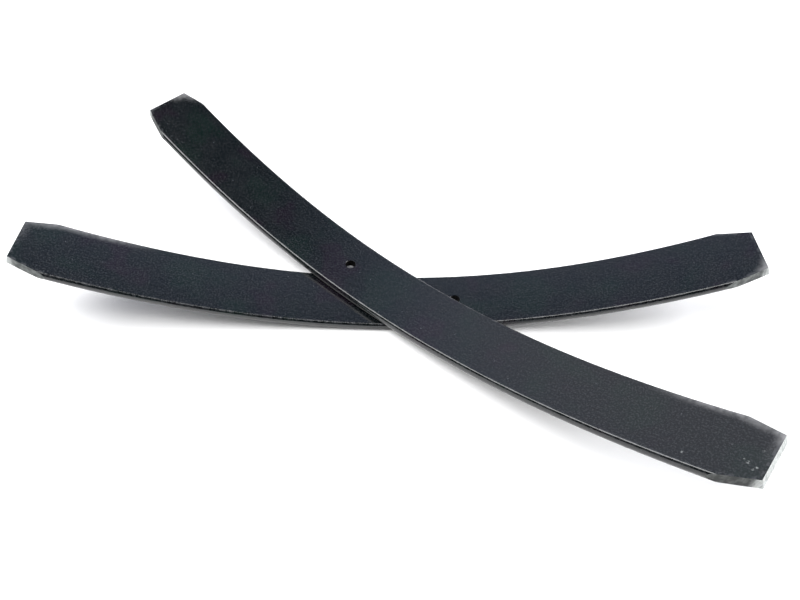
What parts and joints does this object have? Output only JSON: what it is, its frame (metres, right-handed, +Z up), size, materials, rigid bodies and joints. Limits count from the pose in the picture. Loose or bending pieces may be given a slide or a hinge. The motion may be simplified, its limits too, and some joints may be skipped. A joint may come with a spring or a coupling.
{
  "type": "leaf spring",
  "caption": "Loose arched leaves of flat spring steel, painted black, each with an offset bolt hole and clipped ends, one laid across the other.",
  "frame": {"origin": "on the floor, under the middle of the pair's bounding box", "axes": "+X along the lower leaf towards the end of its short arm, +Y away from the end of the upper leaf's long arm, +Z up, the way the hollow faces look"},
  "size_m": [0.6632, 0.4594, 0.0963],
  "materials": {
    "black_paint": "satin black paint over rolled spring steel, thin and greyer on the sheared ends"
  },
  "bodies": {
    "lower_leaf": {"lower_leaf": "black_paint"},
    "upper_leaf": {"upper_leaf": "black_paint"}
  },
  "joints": [
    {"name": "upper_leaf_lift", "type": "slide", "parent": "lower_leaf", "child": "upper_leaf", "axis": [0, 0, 1], "range_m": [0, 0.1]}
  ]
}
